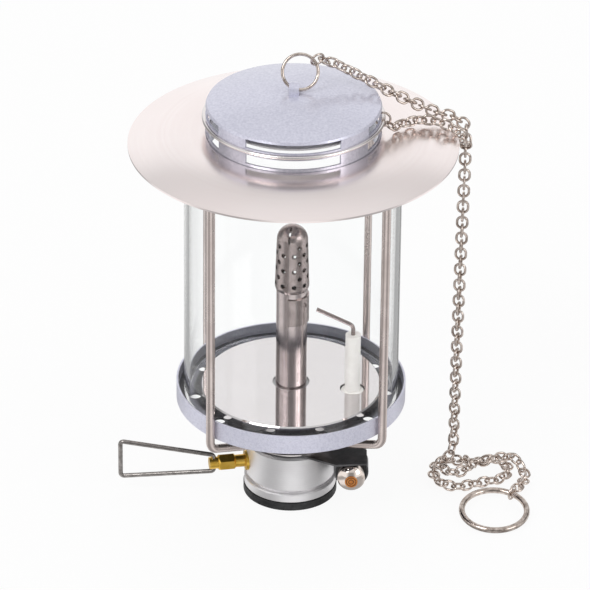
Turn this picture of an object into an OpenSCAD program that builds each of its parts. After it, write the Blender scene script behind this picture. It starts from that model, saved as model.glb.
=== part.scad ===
// Table-top gas lantern: a bare burner in a glass chimney, carried by a wire frame that stands on
// a screw-on canister valve, with a hanging chain on its vented cap.
// The origin is the centre of the foot's underside, +Z is up and the front looks along -Y.

/* [Valve base] */
// Radius of the rubber foot ring
foot_r = 18.5; // [17:0.1:20]
// Height of the rubber foot ring
foot_h = 3.2; // [2.4:0.1:4]
// Radius of the turned valve body
valve_r = 17.5; // [16.5:0.1:18]
// Height of the valve body's top above the table
valve_top = 23; // [22:0.1:25]
// Radius of the valve body's lower skirt
skirt_r = 18.2; // [17.6:0.1:19]
// Height of the skirt above the foot ring
skirt_h = 3.8; // [3:0.1:5]
// Width of the groove above the skirt
groove_h = 1.6; // [1:0.1:2.4]
// Depth of the groove above the skirt
groove_depth = 1.2; // [0.6:0.1:2]
// Radius of the recess that takes the canister's collar
socket_r = 15; // [14.4:0.1:15.6]
// Depth of that recess above the table
socket_depth = 5; // [4:0.1:6]
// Radius of the canister thread's bore
thread_r = 5.13; // [5.05:0.01:5.2]
// Length of the canister thread
thread_len = 9; // [7:0.1:9]
// Wall of the brass thread insert
insert_wall = 2; // [1.4:0.1:2.4]
// Height of the insert's mouth above the table
insert_mouth = 2; // [1.6:0.1:2.4]
// Radius of the pin that opens the canister's valve
opener_r = 1; // [0.7:0.1:1.3]

/* [Valve spindle] */
// Height of the spindle's axis
spindle_z = 14; // [13.6:0.1:14.6]
// Direction in which the spindle points, seen from above
spindle_az = 191; // [186:1:194]
// Radius of the spindle's stem
stem_r = 2.5; // [2:0.1:2.6]
// Width of the spindle's hexagon across its flats
hex_af = 6; // [5.4:0.1:6.6]
// Distance from the lantern's axis to the hexagon
hex_start = 22.4; // [21.4:0.1:23]
// Length of the hexagon
hex_len = 6.6; // [5.6:0.1:7.4]
// Length of the round end that holds the handle
boss_len = 3.6; // [3.4:0.1:4.4]
// Radius of that round end
boss_r = 2.4; // [2.2:0.1:2.6]

/* [Wire handle] */
// Radius of the handle's wire
handle_wire_r = 0.9; // [0.7:0.05:1]
// Reach of the handle from its pivot
handle_reach = 37; // [32:0.5:38]
// Half the handle's height at its far end
handle_half = 8; // [6.5:0.1:8.4]
// Half the handle's height at its pivot
handle_neck = 3.7; // [3.5:0.1:4]
// Angle between the handle and the spindle as it stands
handle_fold = -15; // [-20:1:0]

/* [Wire frame] */
// Radius of the frame's wire
strut_r = 1.7; // [1.4:0.05:1.8]
// Distance from the lantern's axis to an upright
frame_r = 47.2; // [44:0.1:50]
// Direction of the first upright
frame_az = 49; // [46:1:52]
// Number of uprights
strut_count = 4; // [4:1:4]
// Height of the lower bend
bend_z = 38.4; // [37:0.1:39.2]
// Radius of the wire's bends on its centre line
strut_bend = 5; // [4:0.1:6]
// Height of the frame's upper run into the collar
frame_top = 151.6; // [151.4:0.1:152.4]
// Radius of the plate that carries the frame
plate_r = 16.6; // [15.6:0.1:17]
// Thickness of that plate
plate_t = 2.6; // [2.2:0.1:3]
// Radius of the domed disc that clamps the wires
clamp_r = 15.4; // [14:0.1:16]

/* [Base pan] */
// Gap between the uprights and the pan's wall
pan_gap = 0.5; // [0.4:0.1:1]
// Height of the pan wall's lower edge
pan_low = 42.3; // [41.5:0.1:42.6]
// Height of the pan wall's upper edge
pan_high = 50; // [49:0.1:52]
// Height of the pan's floor
pan_floor = 46; // [45.6:0.1:46.4]
// Sheet thickness of the pan
pan_t = 0.8; // [0.6:0.05:1]
// Radius of a vent hole
vent_r = 2.1; // [1.6:0.1:2.1]
// Number of vent holes
vent_count = 11; // [8:1:14]
// Direction of the first vent hole
vent_az = -5; // [-15:1:15]
// Gap between the glass and the polished reflector disc
disc_gap = 4.5; // [4.4:0.1:5.5]
// Height of the reflector disc above the pan's floor
disc_h = 2.7; // [2.6:0.1:3.2]
// Sheet thickness of the reflector disc
disc_t = 0.6; // [0.4:0.05:0.6]

/* [Chimney] */
// Gap between the pan's wall and the glass
glass_gap = 2.2; // [1.8:0.1:2.6]
// Wall of the glass
glass_wall = 2; // [1.8:0.1:2.2]
// Height of the glass's top
glass_top = 148; // [120:0.5:148.6]

/* [Burner] */
// Outer radius of the burner tube
burner_r = 6.1; // [6:0.05:6.2]
// Wall of the burner tube
burner_wall = 0.5; // [0.45:0.05:0.55]
// Height of the burner tube's top
burner_top = 93.2; // [92.4:0.1:93.3]
// Height of the perforated head's lower edge
head_low = 91; // [90:0.1:91.4]
// Height of the perforated head's top
head_top = 118.5; // [117:0.5:121]
// Wall of the perforated head
head_wall = 0.6; // [0.5:0.05:0.7]
// Radius of the perforated head's top
head_top_r = 6.1; // [5.8:0.1:6.4]
// Radius of a flame hole
port_r = 0.95; // [0.6:0.05:1]
// Number of flame holes in a row
port_columns = 9; // [7:1:10]
// Rows of flame holes
port_rows = 6; // [4:1:6]
// Height of the sleeve's lower edge
sleeve_low = 76.9; // [70:0.1:78]
// Length of the sleeve
sleeve_len = 11.6; // [8:0.1:12.6]
// Angle that the sleeve spans
sleeve_arc = 204; // [190:1:230]

/* [Igniter] */
// Distance of the igniter from the lantern's axis, to the right
igniter_x = 24; // [23.8:0.1:25]
// Radius of the igniter barrel
barrel_r = 6.1; // [6:0.05:6.2]
// Place of the barrel's front face
barrel_front = -17; // [-18:0.1:-16]
// Length of the barrel
barrel_len = 27; // [22:0.5:30]
// Radius of the push button
button_r = 5.4; // [5:0.05:5.4]
// Length of the button in front of the barrel
button_len = 7; // [6:0.1:7.5]
// Travel of the button
button_travel = 5; // [3:0.1:5]
// Radius of the coloured disc in the button
badge_r = 2.5; // [1.6:0.1:2.8]
// Place of the ceramic along the lantern's depth
ceramic_y = -5; // [-6:0.1:-4]
// Radius of the ceramic insulator
ceramic_r = 3; // [2.7:0.1:3.1]
// Height of the ceramic's top
ceramic_top = 73; // [68:0.5:74]
// Radius of the electrode's wire
electrode_r = 0.8; // [0.6:0.05:0.9]

/* [Top] */
// Outer radius of the vented collar
collar_r = 33.5; // [33.4:0.05:33.55]
// Sheet thickness of the collar and the cap
sheet_t = 0.8; // [0.6:0.05:0.9]
// Height of the collar's lower edge
collar_low = 149.4; // [149:0.1:149.6]
// Height of the collar's upper edge
collar_high = 165; // [164.6:0.1:165.4]
// Half of the angle that a vent slot spans
slot_half = 32.5; // [28:0.5:34]
// Height of a vent slot's lower edge
slot_low = 160.2; // [160:0.1:160.6]
// Height of a vent slot's upper edge
slot_high = 164; // [163.8:0.1:164.2]
// Radius of the shade's rim
shade_r = 63.5; // [60:0.1:63.6]
// Height of the shade's inner edge
shade_high = 159; // [158.8:0.1:159.2]
// Height of the shade's rim
shade_low = 154.5; // [154.2:0.1:155]
// Rise of the shade's arch over its chord
shade_bulge = 1.5; // [1:0.1:1.8]
// Sheet thickness of the shade
shade_t = 0.7; // [0.5:0.05:0.8]
// Height of the cap's skirt over the bead
cap_h = 4.9; // [4.6:0.1:5.4]
// Rise of the cap's crown over its skirt
crown_h = 4.6; // [4.4:0.05:4.8]

/* [Hanging ring and chain] */
// Radius of the hanging ring on its wire's centre line
hang_r = 6.8; // [6.6:0.05:7]
// Radius of the hanging ring's wire
hang_wire_r = 0.65; // [0.55:0.01:0.66]
// Angle by which the hanging ring leans back as it stands
hang_lean = 29; // [26:0.5:32]
// Radius of the chain's wire
link_wire_r = 0.5; // [0.4:0.01:0.5]
// Radius of a link's round ends on the wire's centre line
link_end_r = 2; // [1.9:0.05:2.05]
// Length of a link's straight sides
link_straight = 1; // [0.9:0.05:1.1]
// Radius of the ring at the chain's end, on its wire's centre line
end_ring_r = 12.8; // [12:0.1:13.4]
// Radius of that ring's wire
end_ring_wire_r = 1.2; // [1:0.05:1.3]

/* [Hidden] */
$fn = 96;
eps = 0.01;
fit = 0.05;
run = 0.05;
seat = 0.02;
lap = 0.05;

// Valve base, worked out from the sizes above
skirt_top = foot_h + skirt_h;
groove_top = skirt_top + groove_h;
edge_break = 0.8;
insert_r = thread_r + insert_wall;
insert_top = insert_mouth + thread_len;
seal_t = 1.2;
seal_hole_r = 2.6;
seal_r = thread_r + 0.8;
opener_len = 6;
jet_seat_r = 3;
jet_seat_depth = 3;
gland_r = 4;
gland_in = valve_r - 2;
gland_out = valve_r + 0.8;
spindle_seal_t = 2;
spindle_end = 9;
hex_end = hex_start + hex_len;
boss_end = hex_end + boss_len;
pivot_rho = hex_end + boss_len / 2;
stem_dir = [cos(spindle_az), sin(spindle_az), 0];
pivot = pivot_rho * stem_dir + [0, 0, spindle_z];
handle_bend = 1.3;
handle_pin_end = 0.7;

// Wire frame
bracket_t = 0.8;
plate_low = valve_top + bracket_t;
plate_top = plate_low + plate_t;
run_z = plate_top + strut_r;
run_in = 10.4;
run_out = 20;
clamp_z = run_z + strut_r;
clamp_t = 1.4;
clamp_rise = 2;
neck_nut_af = 15;
neck_nut_h = 3;
mix_r = burner_r - burner_wall - fit;
mix_bore = mix_r - 1;
mix_foot_r = 9;
mix_foot_t = 1.6;
mix_flange_r = 9;
mix_flange_t = 2;
mix_top = 62;
air_hole_r = 2;
air_hole_z = pan_floor - pan_t - mix_flange_t - 4;
lock_nut_af = 17;
lock_nut_h = disc_h - disc_t - 0.1;
strut_tip_r = collar_r - sheet_t - 1.2;

// Base pan, glass and reflector disc, each set in from the frame
pan_r = frame_r - strut_r - pan_gap;
glass_r = pan_r - pan_t - glass_gap;
disc_r = glass_r - glass_wall - disc_gap;
vent_circle_r = disc_r + disc_gap / 2;

// Burner
tube_low = pan_floor + lock_nut_h;
head_bore = burner_r + fit;
head_r = head_bore + head_wall;
head_shoulder = head_top - head_top_r;
head_lip = 0.25;
head_lip_h = 1.4;
port_low = head_low + 3.3;
port_high = head_shoulder - 1.3;
port_pitch = (port_high - port_low) / (port_rows - 1);
port_step = 360 / port_columns;
seam_az = -103;
seam_w = 0.5;
seam_depth = 0.25;
slit_w = 0.8;
slit_in = 1.3;
slit_low = head_shoulder + 0.7;
port_in = head_top_r - head_wall - 1;
sleeve_wall = 0.6;

// Igniter
igniter_z = valve_top - barrel_r - fit;
ceramic_at = [igniter_x, ceramic_y];
ceramic_low = 37;
flange_r = 4.4;
clip_r = 5.6;
clip_t = 0.8;
electrode_low = ceramic_low - 2;
electrode_bend_z = ceramic_top + 4;
electrode_tip = [9.7, -2, ceramic_top + 9.4];
button_in = 1.2;
button_bore = button_r + run;
bore_depth = button_in + button_travel + 0.6;
button_nose = 5;
badge_t = 0.5;
band_t = 0.7;
band_from = barrel_front + 1;
band_len = 8;
crystal_r = 3.6;
crystal_len = 12;

// Top
shade_in = collar_r + 0.3;
ledge_r = collar_r + 1.6;
ledge_t = 1;
bead_t = 1.5;
bead_r = collar_r + 0.9;
cap_r = collar_r + 0.2;
cap_low = collar_high + bead_t;
cap_edge = cap_low + cap_h;
crown_z = cap_edge + crown_h;
window_low = cap_low + 0.4;
window_high = cap_edge - 0.9;
crown_ball = (cap_r * cap_r + crown_h * crown_h) / (2 * crown_h);
baffle_r = 30;
baffle_z = cap_low;
baffle_t = 0.7;
post_r = 1.6;
strap_in = 2.4;
strap_t = 0.7;
strap_w = 3.8;
strap_z = crown_z + 1;
eye_z = crown_z + 1.4;

// Hanging ring and the small rings of the chain
ring_up = [0, sin(hang_lean), cos(hang_lean)];
ring_tilt = 20;
hang_c = [0, 0, eye_z] + hang_r * (sin(ring_tilt) * [1, 0, 0] + cos(ring_tilt) * ring_up);
hang_n = cross([1, 0, 0], ring_up);
small_r = 2.6;
small_wire_r = 0.45;
jump_at = 37;
jump_out = cos(jump_at) * [1, 0, 0] + sin(jump_at) * ring_up;
jump_tan = sin(jump_at) * [1, 0, 0] - cos(jump_at) * ring_up;
jump_turn = 55;
jump_side = cos(jump_turn) * jump_tan - sin(jump_turn) * hang_n;
jump_c = hang_c + (hang_r + 1.3) * jump_out;
jump_n = cross(jump_out, jump_side);
jump_leave = cos(60) * jump_out + sin(60) * jump_side;
stay_az = -2;
stay_ring_r = 2.8;
stay_dir = [cos(stay_az), sin(stay_az), 0];
stay_c = (bead_r - 0.3) * stay_dir + [0, 0, collar_high + 0.4];
stay_n = [-sin(stay_az), cos(stay_az), 0];
stay_leave = cos(40) * stay_dir - sin(40) * [0, 0, 1];
joint_c = [66.2, 10.2, 146.5];
joint_n = [1, 0, 0];
joint_up = [0, 0.45, 0.893];
joint_stay = [0, -0.55, 0.835];
joint_down = [0, 0, -1];
end_tilt = 6;
end_back = [0, cos(end_tilt), sin(end_tilt)];
end_c = [80.6, -20.6, end_ring_wire_r + end_ring_r * sin(end_tilt) + 0.02];
end_n = [0, -sin(end_tilt), cos(end_tilt)];
end_at = 57;
end_out = cos(end_at) * [1, 0, 0] + sin(end_at) * end_back;
end_tan = sin(end_at) * [1, 0, 0] - cos(end_at) * end_back;
end_jump_c = end_c + (end_ring_r + small_r - end_ring_wire_r - small_wire_r - 0.2) * end_out;

// Links hook into each other and into the rings with this slack
link_len = link_straight + 2 * link_end_r;
hook_slack = 0.2;
hook = link_len / 2 - 2 * link_wire_r - hook_slack;
link_slack = 0.42;
pitch_most = link_len - 2 * link_wire_r - link_slack;
fall_end_z = 22;

// Routes of the chain, from ring to ring: over the cap and the rim, along the shade, down to the
// table and there twice round on itself before it runs on to the end ring
upper_route = [jump_c + small_r * jump_leave, jump_c + (small_r + 3) * jump_leave,
    [16.5, 8.5, 183.6], [26.5, 8.8, 178], [36.5, 8.6, 172.4], [44, 9.6, 168], [54, 12.3, 162],
    [60.8, 13.6, 159.2], [66, 13.6, 155.4], joint_c + 5.5 * joint_up, joint_c + small_r * joint_up];
stay_route = [stay_c + stay_ring_r * stay_leave, stay_c + (stay_ring_r + 2.2) * stay_leave,
    [41.5, 2.4, 161.7], [46.5, 5.6, 161.4], [51.5, 7, 161], [56.5, 6.6, 160],
    [61, 5.4, 158.4], [65, 5.6, 155], joint_c + 5.5 * joint_stay, joint_c + small_r * joint_stay];
fall_route = [joint_c + small_r * joint_down, joint_c + 8 * joint_down, [65.8, 11, 110], [65.2, 12, 60],
    [65, 12.2, 24], [65, 12.2, 15.5], [63.6, 9.4, 10.4], [61, 6.4, 8.7], [60, 1.6, 8.7],
    [65, -2.4, 8.7], [70.4, 0.8, 8.7], [71.4, 6.6, 8.2], [69.8, 12, 5.4], [66, 16, 3], [60.4, 15.4, 2.8],
    [57.4, 10, 2.8], [57.6, 4, 2.8], [61, -1.6, 2.8], [66.5, -3.4, 2.8], [72, -1.8, 2.8],
    [77.4, 0.4, 2.8], [83, 2.4, 2.8], [86.8, 7.4, 2.8], [86, 13.6, 2.8], [81, 17.8, 2.8],
    [75.8, 15.8, 3], [74.8, 10.6, 5.2], [78.4, 7.8, 8.2], [84, 9, 9], [89.4, 12, 6.8],
    [93, 8.4, 3.2], [93.4, 3, 2.8],
    end_jump_c + (small_r + 3) * end_out, end_jump_c + small_r * end_out];

// Geometry helpers
function unit(v) = v / norm(v);
function side_of(t) = unit(abs(t.z) < 0.9 ? cross(t, [0, 0, 1]) : cross(t, [0, 1, 0]));
function place(o, x, y, z) = [[x.x, y.x, z.x, o.x], [x.y, y.y, z.y, o.y], [x.z, y.z, z.z, o.z],
    [0, 0, 0, 1]];
function polar(r, a, z) = [r * cos(a), r * sin(a), z];

// Wire of radius r in the XZ plane through the corners p, each rounded by the same bend
function heading(p, i) = atan2(p[i + 1].x - p[i].x, p[i + 1].y - p[i].y);
function turn(p, i) = let(a = heading(p, i) - heading(p, i - 1)) a - 360 * floor(a / 360 + 0.5);
function cut_back(p, i, bend) = i == 0 || i == len(p) - 1 ? 0 : bend * tan(abs(turn(p, i)) / 2);

module wire_from(p, i, r, bend) {
    h = norm(p[i + 1] - p[i]) - cut_back(p, i, bend) - cut_back(p, i + 1, bend);
    more = i + 2 < len(p);
    translate([0, 0, i > 0 ? -lap : 0])
        cylinder(h = h + (i > 0 ? lap : 0) + (more ? lap : 0), r = r);
    if (more) {
        a = turn(p, i + 1);
        s = sign(a) * bend;
        translate([0, 0, h]) {
            rotate([0, 0, a > 0 ? 0 : 180]) translate([bend, 0, 0]) rotate([-90, 0, 0]) rotate([0, 0, 180])
                rotate_extrude(angle = abs(a)) translate([bend, 0]) circle(r - 0.4 * lap);
            translate([s, 0, 0]) rotate([0, a, 0]) translate([-s, 0, 0]) wire_from(p, i + 1, r, bend);
        }
    }
}

module flat_wire(p, r, bend) {
    translate([p[0].x, 0, p[0].y]) rotate([0, heading(p, 0), 0]) wire_from(p, 0, r, bend);
}

// Closed wire ring round c, square to n
module wire_ring(c, n, ring_r, wire_r) {
    z = unit(n);
    x = side_of(z);
    multmatrix(place(c, x, cross(z, x), z)) rotate_extrude() translate([ring_r, 0]) circle(wire_r);
}

// Flat ring standing on the plane z
module washer(r_out, r_in, z, h) {
    translate([0, 0, z]) difference() {
        cylinder(h = h, r = r_out);
        translate([0, 0, -eps]) cylinder(h = h + 2 * eps, r = r_in);
    }
}

// Hexagonal nut with a round bore, standing on the plane z
module hex_nut(af, r_in, z, h) {
    translate([0, 0, z]) difference() {
        cylinder(h = h, r = af / sqrt(3), $fn = 6);
        translate([0, 0, -eps]) cylinder(h = h + 2 * eps, r = r_in);
    }
}

// Turns what lies along +Z from the lantern's axis outwards along the spindle
module along_spindle() {
    translate([0, 0, spindle_z]) rotate([0, 0, spindle_az]) rotate([0, 90, 0]) children();
}

// Wedge of the given half angle round the direction az, for cutting slots in a wall of radius r
module slot_wedge(az, half, z_low, z_high, r) {
    far = r / cos(half) + 2;
    near = r - 4;
    low = [cos(az - half), sin(az - half)];
    high = [cos(az + half), sin(az + half)];
    translate([0, 0, z_low]) linear_extrude(z_high - z_low)
        polygon([near * low, far * low, far * high, near * high]);
}

// Chain: a smooth curve through the route, links at equal steps, each turned a quarter to the last
samples = 10;
function curve_point(a, b, c, d, t) = 0.5 * (2 * b + (c - a) * t + (2 * a - 5 * b + 4 * c - d) * t * t
    + (3 * b - a - 3 * c + d) * t * t * t);
function at_or_beyond(p, i) = i < 0 ? 2 * p[0] - p[1]
    : i >= len(p) ? 2 * p[len(p) - 1] - p[len(p) - 2] : p[i];
function smooth(p) = [for (i = [0 : len(p) - 2], k = [0 : samples - 1])
    curve_point(at_or_beyond(p, i - 1), p[i], p[i + 1], at_or_beyond(p, i + 2), k / samples),
    p[len(p) - 1]];
function lengths(c) = [for (i = 0, s = 0; i < len(c);
    s = s + (i + 1 < len(c) ? norm(c[i + 1] - c[i]) : 0), i = i + 1) s];
function point_at(c, s, d) = let(x = max(min(d, s[len(s) - 1]), 0),
    i = min(max([for (k = 0; s[k] <= x && k < len(s) - 1; k = k + 1) k]), len(s) - 2),
    f = (x - s[i]) / (s[i + 1] - s[i])) c[i] + f * (c[i + 1] - c[i]);
function square_to(v, t) = unit(v - t * (v * t));
function carried(tan, first) = [for (i = 0, n = square_to(first, tan[0]); i < len(tan);
    i = i + 1, n = i < len(tan) ? square_to(n, tan[i]) : n) n];
function wrap(a) = a - 180 * floor(a / 180 + 0.5);

// Places of all links of a route: [centre, along, wide], with the first and last link's wide
// sides lying along the two directions given
function link_frames(route, first, last) = let(c = smooth(route), s = lengths(c),
    total = s[len(s) - 1], n = ceil((total - 2 * hook) / pitch_most) + 1,
    pitch = (total - 2 * hook) / (n - 1),
    pos = [for (i = [0 : n - 1]) point_at(c, s, hook + i * pitch)],
    tan = [for (i = [0 : n - 1]) unit(point_at(c, s, hook + (i + 0.5) * pitch)
        - point_at(c, s, hook + (i - 0.5) * pitch))],
    nor = carried(tan, first), end = square_to(last, tan[n - 1]),
    have = atan2(end * cross(tan[n - 1], nor[n - 1]), end * nor[n - 1]),
    twist = wrap(have - 90 * (n - 1)) / (n - 1))
    [for (i = [0 : n - 1]) let(a = i * (90 + twist))
        [pos[i], tan[i], nor[i] * cos(a) + cross(tan[i], nor[i]) * sin(a)]];

// One link: two round ends joined by two straight sides
module link(f) {
    multmatrix(place(f[0], f[1], f[2], cross(f[1], f[2]))) {
        for (k = [1, -1]) {
            translate([k * link_straight / 2, 0, 0]) rotate([0, 0, k > 0 ? -90 : 90])
                rotate_extrude(angle = 180) translate([link_end_r, 0]) circle(link_wire_r, $fn = 32);
            translate([-link_straight / 2, k * link_end_r, 0]) rotate([0, 90, 0])
                cylinder(h = link_straight, r = link_wire_r, $fn = 32);
        }
    }
}

// Valve base
module foot_ring() {
    color([0.09, 0.09, 0.1]) washer(foot_r, socket_r, 0, foot_h - seat);
}

module valve_body() {
    color([0.78, 0.78, 0.79]) difference() {
        rotate_extrude() polygon([[0, foot_h], [skirt_r - 0.4, foot_h], [skirt_r, foot_h + 0.4],
            [skirt_r, skirt_top - 0.4], [skirt_r - 0.4, skirt_top], [valve_r - groove_depth, skirt_top],
            [valve_r - groove_depth, groove_top], [valve_r, groove_top],
            [valve_r, valve_top - edge_break], [valve_r - edge_break, valve_top], [0, valve_top]]);
        translate([0, 0, -eps]) cylinder(h = socket_depth + eps, r = socket_r);
        cylinder(h = insert_top, r = insert_r + fit);
        cylinder(h = insert_top + seal_t + seat, r = seal_r + fit);
        cylinder(h = insert_top + opener_len, r = opener_r + fit);
        translate([0, 0, valve_top - jet_seat_depth])
            cylinder(h = jet_seat_depth + eps, r = jet_seat_r + fit);
        along_spindle() translate([0, 0, spindle_end - 1]) cylinder(h = valve_r, r = stem_r + 0.1);
        along_spindle() translate([0, 0, gland_in - spindle_seal_t - seat])
            cylinder(h = valve_r, r = gland_r + fit);
    }
}

module thread_insert() {
    color([0.80, 0.62, 0.26]) washer(insert_r, thread_r, insert_mouth, thread_len - seat);
}

module canister_seal() {
    color([0.1, 0.1, 0.1]) washer(seal_r, seal_hole_r, insert_top, seal_t);
}

module opener_pin() {
    color([0.8, 0.65, 0.3]) translate([0, 0, insert_top]) cylinder(h = opener_len - seat, r = opener_r);
}

module gland_nut() {
    color([0.80, 0.62, 0.26])
        along_spindle() washer(gland_r, stem_r + run, gland_in, gland_out - gland_in);
}

module spindle_seal() {
    color([0.1, 0.1, 0.1])
        along_spindle() washer(gland_r, stem_r + run, gland_in - spindle_seal_t, spindle_seal_t - seat);
}

module valve_spindle() {
    chamfer = 0.7;
    color([0.85, 0.66, 0.25]) difference() {
        along_spindle() {
            translate([0, 0, spindle_end]) cylinder(h = hex_start + eps - spindle_end, r = stem_r);
            intersection() {
                translate([0, 0, hex_start]) cylinder(h = hex_len, r = hex_af / sqrt(3), $fn = 6);
                rotate_extrude() polygon([[0, hex_start], [hex_af / 2 - 0.2, hex_start],
                    [hex_af / sqrt(3) + eps, hex_start + chamfer],
                    [hex_af / sqrt(3) + eps, hex_end - chamfer], [hex_af / 2 - 0.2, hex_end], [0, hex_end]]);
            }
            translate([0, 0, hex_end - eps]) cylinder(h = boss_len + eps, r = boss_r);
        }
        translate(pivot - [0, 0, hex_af]) cylinder(h = 2 * hex_af, r = handle_wire_r + run);
    }
}

// Bent loop whose two ends turn into the cross hole of the spindle
module wire_handle() {
    bends = [[0, handle_pin_end], [0, handle_neck], [handle_reach, handle_half],
        [handle_reach, -handle_half], [0, -handle_neck], [0, -handle_pin_end]];
    color([0.62, 0.60, 0.58]) translate(pivot) rotate([0, 0, spindle_az + handle_fold])
        flat_wire(bends, handle_wire_r, handle_bend);
}

module jet() {
    jet_af = 7;
    color([0.82, 0.64, 0.28]) difference() {
        union() {
            translate([0, 0, valve_top - jet_seat_depth + seat])
                cylinder(h = jet_seat_depth, r = jet_seat_r);
            translate([0, 0, valve_top]) cylinder(h = 3, r = jet_af / sqrt(3), $fn = 6);
            translate([0, 0, valve_top + 3 - eps]) cylinder(h = 2.6, r1 = 2.4, r2 = 1.4);
        }
        cylinder(h = valve_top + 8, r = 0.5);
    }
}

// Wire frame and what clamps it on the valve
module strut_plate() {
    edge = 0.5;
    dome_r = (plate_r - mix_foot_r) * 1.5;
    color([0.86, 0.85, 0.85]) rotate_extrude() intersection() {
        translate([mix_r + fit, plate_low]) square([plate_r - mix_r - fit, plate_t]);
        union() {
            translate([0, plate_low]) square([plate_r, edge]);
            translate([mix_foot_r, plate_top - dome_r]) circle(dome_r);
            translate([0, plate_low]) square([mix_foot_r, plate_t]);
        }
    }
}

module strut_clamp() {
    color([0.86, 0.85, 0.85]) translate([0, 0, clamp_z]) difference() {
        rotate_extrude() polygon([[mix_r + fit, 0], [clamp_r, 0], [clamp_r, 0.6],
            [clamp_r - 3, clamp_t + 0.8], [mix_foot_r + 2, clamp_t + clamp_rise],
            [mix_r + fit, clamp_t + clamp_rise]]);
    }
}

module neck_nut() {
    color([0.75, 0.75, 0.76])
        hex_nut(neck_nut_af, mix_r + fit, clamp_z + clamp_t + clamp_rise, neck_nut_h);
}

// Outline of one upright's wire, from the plate to the collar
module strut(az) {
    color([0.68, 0.66, 0.63]) rotate([0, 0, az]) flat_wire([[run_in, run_z], [run_out, run_z],
        [frame_r, bend_z], [frame_r, frame_top], [strut_tip_r, frame_top]], strut_r, strut_bend);
}

module mixing_tube() {
    flange_z = pan_floor - pan_t - mix_flange_t;
    color([0.72, 0.72, 0.73]) difference() {
        union() {
            translate([0, 0, valve_top + seat]) cylinder(h = mix_top - valve_top - seat, r = mix_r);
            translate([0, 0, plate_top]) cylinder(h = mix_foot_t, r = mix_foot_r);
            translate([0, 0, flange_z]) cylinder(h = mix_flange_t, r = mix_flange_r);
        }
        cylinder(h = mix_top + 1, r = mix_bore);
        for (a = [0 : 90 : 270])
            rotate([0, 0, a]) translate([air_hole_r + 1, 0, air_hole_z]) rotate([0, 90, 0])
                cylinder(h = mix_r, r = air_hole_r);
    }
}

// Base pan with its row of vent holes
module base_pan() {
    color([0.76, 0.78, 0.84]) difference() {
        rotate_extrude() polygon([[mix_r + fit, pan_floor - pan_t], [pan_r - pan_t, pan_floor - pan_t],
            [pan_r - pan_t, pan_low], [pan_r, pan_low], [pan_r, pan_high], [pan_r - pan_t, pan_high],
            [pan_r - pan_t, pan_floor], [mix_r + fit, pan_floor]]);
        for (i = [0 : vent_count - 1])
            translate(polar(vent_circle_r, vent_az - i * 360 / vent_count, pan_floor - 2))
                cylinder(h = 4, r = vent_r);
        translate([ceramic_at.x, ceramic_at.y, pan_floor - 2]) cylinder(h = 4, r = ceramic_r + fit);
    }
}

module lock_nut() {
    color([0.75, 0.75, 0.76]) hex_nut(lock_nut_af, mix_r + fit, pan_floor, lock_nut_h - seat);
}

module reflector_disc() {
    top = pan_floor + disc_h;
    color([0.88, 0.86, 0.86]) difference() {
        rotate_extrude() polygon([[burner_r + 1.15, top - disc_t], [disc_r - disc_t, top - disc_t],
            [disc_r - disc_t, pan_floor + seat], [disc_r, pan_floor + seat], [disc_r, top - 0.5],
            [disc_r - 0.5, top], [burner_r + 1.15, top]]);
        translate([ceramic_at.x, ceramic_at.y, pan_floor]) cylinder(h = 2 * disc_h, r = flange_r + 0.4);
    }
}

// Burner
module burner_tube() {
    color([0.66, 0.65, 0.64]) difference() {
        washer(burner_r, burner_r - burner_wall, tube_low, burner_top - tube_low);
        rotate([0, 0, seam_az]) translate([burner_r - seam_depth, -seam_w / 2, tube_low - 1])
            cube([1, seam_w, burner_top - tube_low + 2]);
    }
}

// Open sleeve that starts at the tube's seam and holds by its own spring
module burner_sleeve() {
    color([0.70, 0.69, 0.68]) rotate([0, 0, seam_az]) rotate_extrude(angle = sleeve_arc)
        translate([burner_r + fit, sleeve_low]) square([sleeve_wall, sleeve_len]);
}

// Perforated head: a tapered, seamed thimble with staggered flame holes and a slit in its dome
module burner_head() {
    inner_top = head_top_r - head_wall;
    color([0.62, 0.61, 0.60]) difference() {
        rotate_extrude() difference() {
            union() {
                polygon([[0, head_low], [head_bore + head_lip, head_low], [head_r, head_low + head_lip_h],
                    [head_top_r, head_shoulder], [0, head_shoulder]]);
                intersection() {
                    translate([0, head_shoulder]) circle(head_top_r);
                    translate([0, head_shoulder - 1]) square([2 * head_top_r, head_top_r + 2]);
                }
            }
            polygon([[0, head_low - 1], [head_bore, head_low - 1], [head_bore, burner_top + seat],
                [inner_top, burner_top + 2], [inner_top, head_shoulder], [0, head_shoulder]]);
            translate([0, head_shoulder]) circle(inner_top);
        }
        for (row = [0 : port_rows - 1], col = [row % 2 : port_columns - 1])
            rotate([0, 0, seam_az + (col + (row % 2 == 0 ? 0.5 : 0)) * port_step])
                translate([port_in, 0, port_low + row * port_pitch]) rotate([0, 90, 0])
                    cylinder(h = head_r, r = port_r, $fn = 24);
        rotate([0, 0, seam_az]) translate([0, seam_w / 2, 0]) rotate([90, 0, 0]) linear_extrude(seam_w)
            polygon([[head_r - seam_depth, head_low - 1], [head_r - seam_depth, head_low + head_lip_h],
                [head_top_r - seam_depth, head_shoulder + 1], [2 * head_r, head_shoulder + 1],
                [2 * head_r, head_low - 1]]);
        rotate([0, 0, seam_az]) translate([slit_in, -slit_w / 2, slit_low])
            cube([head_r, slit_w, 2 * head_top_r]);
    }
}

// Chimney
module glass_chimney() {
    color([0.9, 0.94, 0.96, 0.35])
        washer(glass_r, glass_r - glass_wall, pan_floor + seat, glass_top - pan_floor - seat);
}

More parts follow.
